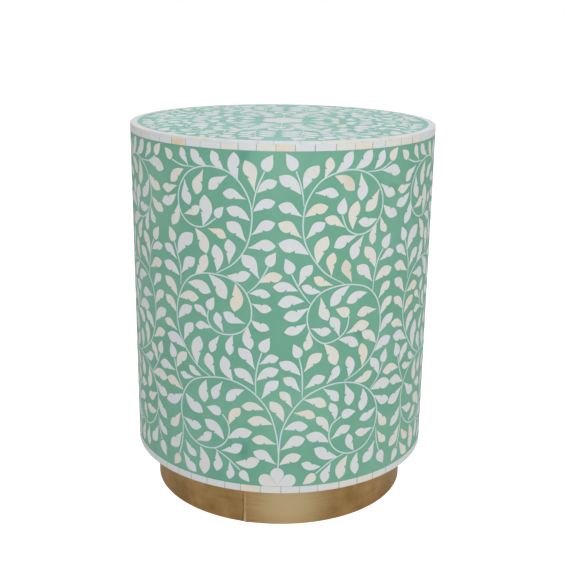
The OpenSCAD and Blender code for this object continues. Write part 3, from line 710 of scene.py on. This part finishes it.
def bone_finish(name, grain_scale=9, cool=colour(205, 208, 213), warm=colour(209, 208, 202),
                tan=colour(200, 194, 178)):
    """Bone: bluish white up to a tone of 0.5, creamy above, peach from 0.9 and tan from 0.97."""
    bone = Finish(name)
    tone = bone.node("ShaderNodeAttribute", output="Fac", attribute_name="tone")
    grain_place = bone.node("ShaderNodeAttribute", output="Vector", attribute_name="grain")
    own = bone.node("ShaderNodeCombineXYZ", {"X": tone * 37, "Y": tone * 91})
    own_place = bone.node("ShaderNodeVectorMath", {0: grain_place, 1: own}, operation="ADD")
    grain = bone.noise(grain_scale, 4, 0.6, (1, 7, 1), own_place)
    blotch = bone.noise(46, 3, 0.6)
    stain = bone.noise(62, 4, 0.62)
    body = bone.mix(bone.steps(tone + (blotch - 0.5) * 0.5, 0.4, 0.75), cool, warm)
    body = bone.mix(bone.steps(tone, 0.9, 0.92) * 0.6, body, colour(214, 204, 192))
    part_tan = bone.steps(tone, 0.96, 0.97) * bone.steps(blotch + grain * 0.4, 0.55, 0.85, 0.1, 0.8)
    body = bone.mix(part_tan, body, tan)
    odd_piece = bone.steps((tone * 7.31).math("FRACT"), 0.8, 0.84)
    body = bone.mix(bone.steps(stain, 0.5, 0.7) * odd_piece * 0.6, body, colour(208, 196, 172))
    body = bone.mix(bone.steps(grain, 0.56, 0.75) * 0.16, body, colour(192, 187, 184))
    polish = 0.44 + blotch * 0.1 + grain * 0.06
    return bone.surface(Base_Color=body, Roughness=polish, Specular_IOR_Level=0.35,
                        Normal=bone.bump(grain, 0.00005))


# Leaves in front that stand out for their tone: by tone, their places in the three lists. The
# others there are a little cooler than those round the back.
front_cool = 0.8
seen_tones = {0.1: ((26, 50, 51, 77), (25, 37, 38, 49, 54, 56, 68, 81, 82), (1, 6, 9, 12, 20)),
              0.84: ((16, 22, 23, 25, 30, 41, 56, 86), (18, 28, 39, 43, 66, 89, 90), (5,)),
              0.93: ((3, 28, 31, 36, 47, 68, 72, 87), (17, 61), ()),
              0.985: ((32, 34), (), (14,))}
leaf_bone = bone_finish("bone")
vine_bone = bone_finish("vine_bone", 60, colour(192, 205, 210), colour(201, 207, 204))
drum_tree = inlay_tree("set_in_the_drum", around_drum)
plant_step = plant_w * mm
sides = ("front", "right", "back", "left")
for k, side in enumerate(sides):
    chance = random.Random(20 + k)
    rows = plant_rows(notch_right, notch_left, buds, chance, k * plant_step)
    if side == "front":
        rows = [(*row[:-1], row[-1] * front_cool) for row in rows]
        for tone, picked in seen_tones.items():
            for first, places in zip((0, len(notch_right), len(notch_right + notch_left)), picked):
                for place in places:
                    rows[first + place] = (*rows[first + place][:-1], tone)
    made_by(drum_tree, drawn_points(rows), f"bone_leaves_{side}", "bone_leaf", f"leaves_{side}",
            Shapes=leaf_shapes, Radius=drum_r, Proud=leaf_proud, Finish=leaf_bone)

# Half flowers: three petals of bone that stand on the bottom tiles at the foot of each plant,
# with hairline joints between them.
petal_r, petal_reach, petal_gap = 0.0085, 0.0168, 0.00012
# Turn of each petal, in degrees, and its tone.
petals = ((29, 0.45), (90, 0.5), (151, 0.52))
flower_u = -0.002


def petal_outline(r, reach, sections=12):
    """A petal's outline: a wedge from the flower's middle that ends in a round."""
    slope = math.tan(math.radians(30))
    edge = []
    for k in range(sections + 1):
        x = (reach + r) * math.sin(math.pi / 2 * k / sections)
        rounded = math.sqrt(max(0, r * r - max(0, x - reach) ** 2))
        half = min(max(0, x * slope - petal_gap), rounded)
        edge.append((x, -half, half))
    return edge


side_petals = shape_box("side_petals")
bone_shape(side_petals, "side_petal", petal_outline(petal_r, petal_reach))
rows = [(flower_u + k * plant_step, field_low, 0, math.radians(turn), 1, 1, tone)
        for k in range(4) for turn, tone in petals]
petal_bone = bone_finish("petal_bone", 260)
made_by(drum_tree, drawn_points(rows), "half_flower_petals", "bone_leaf", "half_flowers",
        Shapes=side_petals, Radius=drum_r, Proud=leaf_proud, Finish=petal_bone)

# Vines: thin strips of bone bent and butted into curling stems, which carry the leaves and buds.
# A branch is filed thin where it leaves its stem.
vine_w, vine_t, vine_step, vine_uneven = 0.00175, 0.002, 0.003, 0.32
root_l, root_thin = 2.0, [0.45, 0.6]
# Points of each vine, to the right of the stem and to its left.
right_vines = [
    [[-1.5, 91], [-0.6, 104], [0, 120], [3, 144], [13, 167], [30, 188], [52, 200], [75, 204], [98, 200],
     [117, 188], [129, 171], [132.5, 150], [127, 129], [113, 112], [92, 106.5], [73, 114], [63, 131],
     [66, 149], [78, 158.5]],
    [[27.5, 190], [27.5, 206], [26.5, 224], [23, 240]],
    [[121, 189.5], [132, 202], [140, 218]],
    [[132.5, 130], [134, 114], [139, 98]],
    [[83, 107], [66, 100], [46.5, 85]],
    [[83, 206.5], [101, 216], [119, 231], [130, 255], [132, 280], [126, 304], [111, 321], [90, 328],
     [68, 328], [48, 321], [35, 305], [32, 287], [38, 269], [53, 257.5], [71, 262], [82, 273],
     [85, 289]],
    [[34.5, 309.5], [23, 325], [12.5, 345]],
    [[118, 317], [120, 338], [125, 356], [132, 367]],
    [[76, 331], [53, 345], [36, 366], [27, 386], [25, 408], [29, 431], [43, 453], [61, 463], [82, 467],
     [103, 462], [119, 450], [128, 431], [126, 411], [114, 395], [96, 389], [80, 396], [72, 414]],
    [[25.5, 428], [24, 440], [21, 453], [16, 467]],
    [[106, 463], [124, 464], [140, 472]]]
left_vines = [
    [[-0.9, 112], [-3.2, 138], [-12, 168], [-27, 189], [-46, 203], [-68, 209], [-91, 207], [-113, 199],
     [-127, 183], [-133.5, 163], [-132, 143], [-122, 124], [-104, 113], [-84, 113], [-69, 123],
     [-63, 138], [-65, 151], [-72, 161]],
    [[-29, 193], [-29.5, 210], [-27, 230], [-22, 247]],
    [[-132, 184.5], [-140, 201], [-145, 220]],
    [[-131.5, 135], [-133, 112], [-139, 90]],
    [[-81, 111.5], [-66, 103], [-49, 88.5]],
    [[-90, 209.5], [-106, 219], [-122, 236], [-134, 257], [-138.5, 281], [-134, 305], [-121, 327],
     [-102, 338], [-80, 340], [-60, 336], [-44, 324], [-35.5, 305], [-36, 286], [-48, 271], [-67, 266],
     [-83, 270], [-91, 281], [-90, 294]],
    [[-39, 321], [-26, 334], [-15, 354]],
    [[-131, 321], [-131, 341], [-136, 358], [-141, 372]],
    [[-77, 342.5], [-56, 356], [-41, 377], [-35, 402], [-36, 426], [-46, 448], [-62, 463], [-84, 468.5],
     [-106, 465], [-122, 454], [-132, 434], [-130, 412], [-116, 398], [-97, 396], [-79, 408]],
    [[-33.5, 424], [-29, 445], [-20, 466]],
    [[-110, 466], [-127, 466.5], [-142, 471.5]]]


def vine_tree(name, bend):
    """Draws smooth strips through the given lines and sets them in."""
    tree = Inlay(name, Lines="Geometry", Width="Float", Depth="Float", Seed="Int")
    curve = tree.node("GeometryNodeMeshToCurve", {"Mesh": tree.given("Lines")})
    smooth = tree.node("GeometryNodeCurveSplineType", {"Curve": curve}, spline_type="CATMULL_ROM")
    spaced = {"Curve": smooth, "Length": vine_step}
    fine = tree.node("GeometryNodeResampleCurve", spaced, mode="LENGTH")
    flat = tree.node("GeometryNodeSetCurveNormal", {"Curve": fine}, mode="Z_UP")
    tone = tree.node("FunctionNodeRandomValue", {"Seed": tree.given("Seed"), 2: 0.0, 3: 0.5},
                     output=1, data_type="FLOAT")
    toned = tree.node("GeometryNodeStoreNamedAttribute", {
        "Geometry": flat, "Name": "tone", "Value": tone}, domain="CURVE", data_type="FLOAT")
    strip = tree.node("GeometryNodeCurvePrimitiveQuadrilateral", {
        "Width": tree.given("Width"), "Height": tree.given("Depth")})
    half_down = tree.point(0, tree.given("Depth") * 0.5, 0)
    hung = tree.node("GeometryNodeTransform", {"Geometry": strip, "Translation": half_down})
    place = tree.node("GeometryNodeInputPosition")
    uneven = tree.node("ShaderNodeTexNoise", {"Vector": place, "Scale": 90.0, "Detail": 1.0})
    swept = tree.node("GeometryNodeCurveToMesh", {
        "Curve": toned, "Profile Curve": hung, "Fill Caps": True,
        "Scale": tree.drawn("thin") * (1 - vine_uneven / 2 + uneven * vine_uneven)})
    grain = tree.node("ShaderNodeVectorMath", {0: place, 3: 40.0}, operation="SCALE")
    grained = tree.node("GeometryNodeStoreNamedAttribute", {
        "Geometry": swept, "Name": "grain", "Value": grain}, data_type="FLOAT_VECTOR")
    return tree.set_in(grained, bend)


def drawn_lines(chains, shift=0.0, flips=((1, 1),)):
    """A mesh of the vines' lines. All but the first start thin, inside their stem."""
    points, edges, thin = [], [], []
    for flip_x, flip_y in flips:
        for k, chain in enumerate(chains):
            start = len(points)
            if k:
                (x0, y0), (x1, y1) = chain[:2]
                back = root_l / math.hypot(x1 - x0, y1 - y0)
                chain = [(x0 - (x1 - x0) * back, y0 - (y1 - y0) * back), *chain]
            points += [(x * mm * flip_x + shift, y * mm * flip_y, 0) for x, y in chain]
            edges += [(start + j, start + j + 1) for j in range(len(chain) - 1)]
            thin += root_thin if k else [1.0, 1.0]
            thin += [1.0] * (len(chain) - 2)
    mesh = bpy.data.meshes.new("drawn")
    mesh.from_pydata(points, edges, [])
    store(mesh, "thin", "FLOAT", thin)
    return mesh


drum_vines = vine_tree("bend_vines_on_the_drum", around_drum)
for k, side in enumerate(sides):
    lines = drawn_lines(right_vines + left_vines, k * plant_step)
    made_by(drum_vines, lines, f"bone_vines_{side}", "bone_leaf", Radius=drum_r, Width=vine_w,
            Depth=vine_t, Seed=k, Finish=vine_bone)

# Tiles: short plates of bone around the bottom and the top edge, cut by hand, so that no two are
# as long and their joints vary. Their edges are a little worn.
tile_l, tile_t, tile_bevel, joint_w = 0.022, 0.0028, 0.00022, 0.0006
# How far lengths and turns stray, the warmest tone, and shares of joint_w.
tile_stray, turn_stray, tile_tone, joint_shares = 0.22, 0.004, 0.75, (0.35, 0.6, 1, 1, 1.3)


def bar_shape(box, name, profile, steps=5):
    """A bar of tile length with a profile of (y, z) points and worn ends."""
    made = bmesh.new()
    middle_y = sum(y for y, _ in profile) / len(profile)
    middle_z = min(z for _, z in profile)
    worn_and_painted_highlight = [(y + math.copysign(tile_bevel, middle_y - y), max(middle_z, z - tile_bevel))
            for y, z in profile]
    inner = [tile_bevel + (tile_l - 2 * tile_bevel) * k / steps for k in range(steps + 1)]
    rounds = [(0, worn_and_painted_highlight)] + [(x, profile) for x in inner] + [(tile_l, worn_and_painted_highlight)]
    capped(made, [[made.verts.new((x, y, z)) for y, z in outline] for x, outline in rounds])
    add_shape(box, name, made)


def row_around(count, chance, height, front, tones, gap=joint_w):
    """Rows of drawn_points for tiles around the drum. front: the joints seen in front."""
    whole = math.tau * drum_r
    joints = [u * mm for u in front]
    shares = [chance.uniform(1 - tile_stray, 1 + tile_stray) for _ in range(count - len(joints) + 1)]
    spare = whole - (joints[-1] - joints[0])
    for share in shares[:-1]:
        joints.append(joints[-1] + spare * share / sum(shares))
    rows = []
    for k, (start, end) in enumerate(zip(joints, [*joints[1:], joints[0] + whole])):
        space = gap * chance.choice(joint_shares)
        tone = tones[k] if k < len(tones) else chance.uniform(0, tile_tone)
        turn, length = chance.uniform(-turn_stray, turn_stray), (end - start - space) / tile_l
        rows.append((start + space / 2, height, 0, turn, length, 1, tone))
    return rows


tile_bone = bone_finish("tile_bone", 200, tan=colour(208, 190, 152))
bottom_joints = [-141.5, -119.5, -95, -69.5, -48.5, -23, 3, 26.5, 49.5, 78.5, 105, 130]
bottom_tones = [0.2, 0.3, 0.2, 0.15, 0.93, 0.6, 0.1, 0.35, 0.65, 0.7, 0.8]
top_joints = [-189.5, -165, -142, -120, -99, -72.5, -51, -29.5, -7.5, 14.5, 37.5, 62.5, 86, 110,
              129, 156, 179]
top_tones = [0.45, 0.15, 0.99, 0.2, 0.3, 0.7, 0.1, 0.7, 0.985, 0.2, 0.3, 0.6, 0.92, 0.35, 0.8,
             0.7, 0.93]
for name, count, joints, tones, node in (
        ("bottom_row", 52, bottom_joints, bottom_tones, "bottom_tiles"),
        ("top_row", 56, top_joints, top_tones, "top_tiles")):
    low, high = heights(node)
    h, b = high - low, tile_bevel
    profile = [(0, -tile_t), (0, -b), (b, 0), (h - b, 0), (h, -b), (h, -tile_t)]
    bars = shape_box(name + "_shape")
    bar_shape(bars, name + "_tile", profile)
    rows = row_around(count, random.Random(len(joints)), low, joints, tones)
    made_by(drum_tree, drawn_points(rows), name + "_of_tiles", "bone_tile", node, Shapes=bars,
            Radius=drum_r, Finish=tile_bone)

# Ring: flat pieces of bone around the edge of the top. They lie over the tiles, and their outer
# arris is rubbed round.
rim_low, rim_high = heights("top_ring")
ring_w, ring_arris, ring_joint, ring_pieces = 0.0095, 0.0011, 0.0003, 48
arris = [(ring_arris - ring_arris * math.cos(math.pi / 2 * k / 4),
          ring_arris * math.sin(math.pi / 2 * k / 4) - ring_arris) for k in range(5)]
rim_profile = [(0, rim_low - rim_high), *arris, (ring_w - tile_bevel, 0), (ring_w, -tile_bevel),
               (ring_w, rim_low - rim_high)]


def around_rim(tree):
    """x of the drawing runs round the rim, y in towards the middle and z up."""
    x, y, z = tree.axes()
    return tree.around(x, tree.given("Radius") - y, z + tree.given("Height") + tree.given("Proud"))


rim_shapes = shape_box("rim_shapes")
bar_shape(rim_shapes, "rim_piece", rim_profile)
rim_joints = [-132, -112, -92.5, -51, -28.5, -10, 20.5, 45, 95]
rim_tones = [0.1, 0.93, 0.2, 0.1, 0.1, 0.2, 0.1, 0.65]
rows = row_around(ring_pieces, random.Random(5), 0, rim_joints, rim_tones, ring_joint)
rim_tree = inlay_tree("lay_round_the_rim", around_rim)
made_by(rim_tree, drawn_points(rows), "bone_rim", "bone_tile", "top_ring", Shapes=rim_shapes,
        Radius=drum_r, Height=rim_high, Finish=tile_bone)

# Top: green resin around bone leaves, buds and vines that spread in four mirrored quarters from a
# flower of six petals. Its green is the side's, painted lighter and bluer as a painted sheen.
top_z = heights("top_flower")[1]
resin_sink, edge_dip, edge_step = 0.00006, 0.00005, 0.0015
# Painted sheen: the top's greens are lighter and bluer than the side's, for the light on the flat top.
top_green_painted_lighter = resin_finish("top_resin", colour(110, 168, 155), colour(129, 185, 173),
                         colour(84, 152, 138), 0.42)
disc_low, disc_z, disc_r = heights("top_resin")[0], top_z - resin_sink, resin_r - side_sink
top_disc = bmesh.new()
turned(top_disc, [(0, disc_low), (disc_r, disc_low), (disc_r, rim_high - edge_step),
                  (drum_r - ring_arris, disc_z - edge_dip), (drum_r - ring_w, disc_z), (0, disc_z)],
       drum_steps)
keep(closed(top_disc, "top_face", top_green_painted_lighter), "resin", "top_resin")
# One quarter of the top: x to the right of the stem, y out to the rim.
top_vines = [
    [[2.6, 47], [9, 66], [20, 84], [34, 97], [52, 106], [72, 109], [91, 105], [107, 95], [117, 80],
     [119, 63], [113, 48], [100, 38], [84, 34], [69, 38], [59, 49], [57, 63], [63, 75], [72, 81]],
    [[29, 94.5], [29, 118], [28, 140], [25, 161]],
    [[66, 111], [66, 129], [61.5, 148]],
    [[94, 106], [98, 120], [101, 132]],
    [[121.5, 62], [131, 55], [137, 45]],
    [[82, 31.5], [68, 24], [55, 19]],
    [[120, 83], [136, 91], [149, 86], [158, 74], [163, 57], [165, 38], [164, 20]]]
top_stem = [[[0, 31], [0, 67]]]
stem_buds = [[0, 66, 0, 83], [0, -66, 0, -83]]
top_notch_right = [
    [7.5, 55, 31, 61], [12.5, 69, 37, 74], [22.5, 86, 46, 88], [39, 99, 61, 96], [60, 106, 80, 93],
    [96, 100, 94.5, 77], [113.5, 81.5, 94, 63.5], [118, 62, 94, 50], [82, 36, 78, 60],
    [30, 110, 45, 127], [29, 128, 46, 143.5], [27.5, 146, 43, 160], [67.5, 139, 81, 153],
    [98.5, 115, 117.5, 120], [148.5, 83, 137, 67], [158.5, 66, 146, 54], [162, 46, 152, 31],
    [163, 29, 149, 21], [8.5, 32.5, 27, 36], [5, 43.5, 26, 47.5], [50, 44, 33, 47.5],
    [73, 113, 89, 115], [108, 97, 121, 111], [112, 133, 130, 135.5], [50, 162, 54, 177],
    [131, 5, 149, 8], [91, 151, 88, 166], [124, 30, 127, 12], [97, 4.5, 117, 6]]
top_notch_left = [
    [15, 77, 3.5, 98], [46, 106, 57, 124], [117, 53, 126, 34], [100, 37, 116, 19.5], [90, 33.5, 93, 9],
    [57, 50.5, 38, 57], [56, 62, 42, 72.5], [62, 76, 56, 90], [28, 104, 5.5, 118], [28, 121, 5.5, 135],
    [27, 139.5, 6, 152], [65, 126, 53, 140], [96, 118, 77, 129.5], [98.5, 132, 84.5, 140.5],
    [137, 92, 139, 119], [148, 87, 158, 101], [163, 68.5, 176, 51], [165, 50, 178, 33],
    [169, 30, 182, 16], [73, 26, 70, 5], [125, 79, 133, 61], [156, 88, 169, 77.5],
    [126, 111, 127.5, 124], [71, 158, 76, 172], [70, 27.5, 46, 32]]
top_buds = [
    [72.5, 81, 88, 80], [25, 160.5, 21, 182], [61, 149, 58, 170], [103, 136, 106.5, 151],
    [137.5, 44, 144, 26], [54, 18, 38, 10.5], [162, 18, 159, 4]]
quarters = ((1, 1), (-1, 1), (-1, -1), (1, -1))
# The top's leaves are longer and plumper for their lines than the drum's, and cooler.
top_longer, top_plump, top_cool = 1.12, 1.3, 0.75
top_petal_r, top_petal_reach = 0.011, 0.018
chance = random.Random(40)
rows = []
for flip_x, flip_y in quarters:
    right, left, ends = (
        [(x0 * flip_x, y0 * flip_y, x1 * flip_x, y1 * flip_y) for x0, y0, x1, y1 in lines]
        for lines in (top_notch_right, top_notch_left, top_buds))
    if flip_x * flip_y < 0:
        right, left = left, right
    rows += plant_rows(right, left, ends, chance)
rows += plant_rows([], [], stem_buds, chance)
rows = [(x, y, shape, turn, length * top_longer, width * top_plump, tone * top_cool)
        for x, y, shape, turn, length, width, tone in rows]
top_tree = inlay_tree("set_in_the_top", on_the_top)
made_by(top_tree, drawn_points(rows), "top_bone_leaves", "bone_leaf", "top_leaves",
        Shapes=leaf_shapes, Height=top_z, Proud=-resin_sink / 2, Finish=leaf_bone)
top_petals = shape_box("top_petals")
bone_shape(top_petals, "top_petal", petal_outline(top_petal_r, top_petal_reach))
rows = [(0, 0, 0, math.radians(30 + 60 * k), 1, 1, 0.3 + 0.07 * k) for k in range(6)]
made_by(top_tree, drawn_points(rows), "top_bloom", "bone_leaf", "top_flower",
        Shapes=top_petals, Height=top_z, Proud=-resin_sink / 2, Finish=petal_bone)
lay_vines = vine_tree("lay_vines_on_the_top", on_the_top)
for name, lines in (("top_bone_vines", drawn_lines(top_vines, flips=quarters)),
                    ("top_bone_stems", drawn_lines(top_stem, flips=((1, 1), (1, -1))))):
    made_by(lay_vines, lines, name, "bone_leaf", Height=top_z, Width=vine_w, Depth=vine_t, Seed=9,
            Finish=vine_bone)

# Only the pieces made from the cut shapes stay.
for box in shape_boxes:
    for shape in list(box.objects):
        bpy.data.objects.remove(shape)
    bpy.data.collections.remove(box)
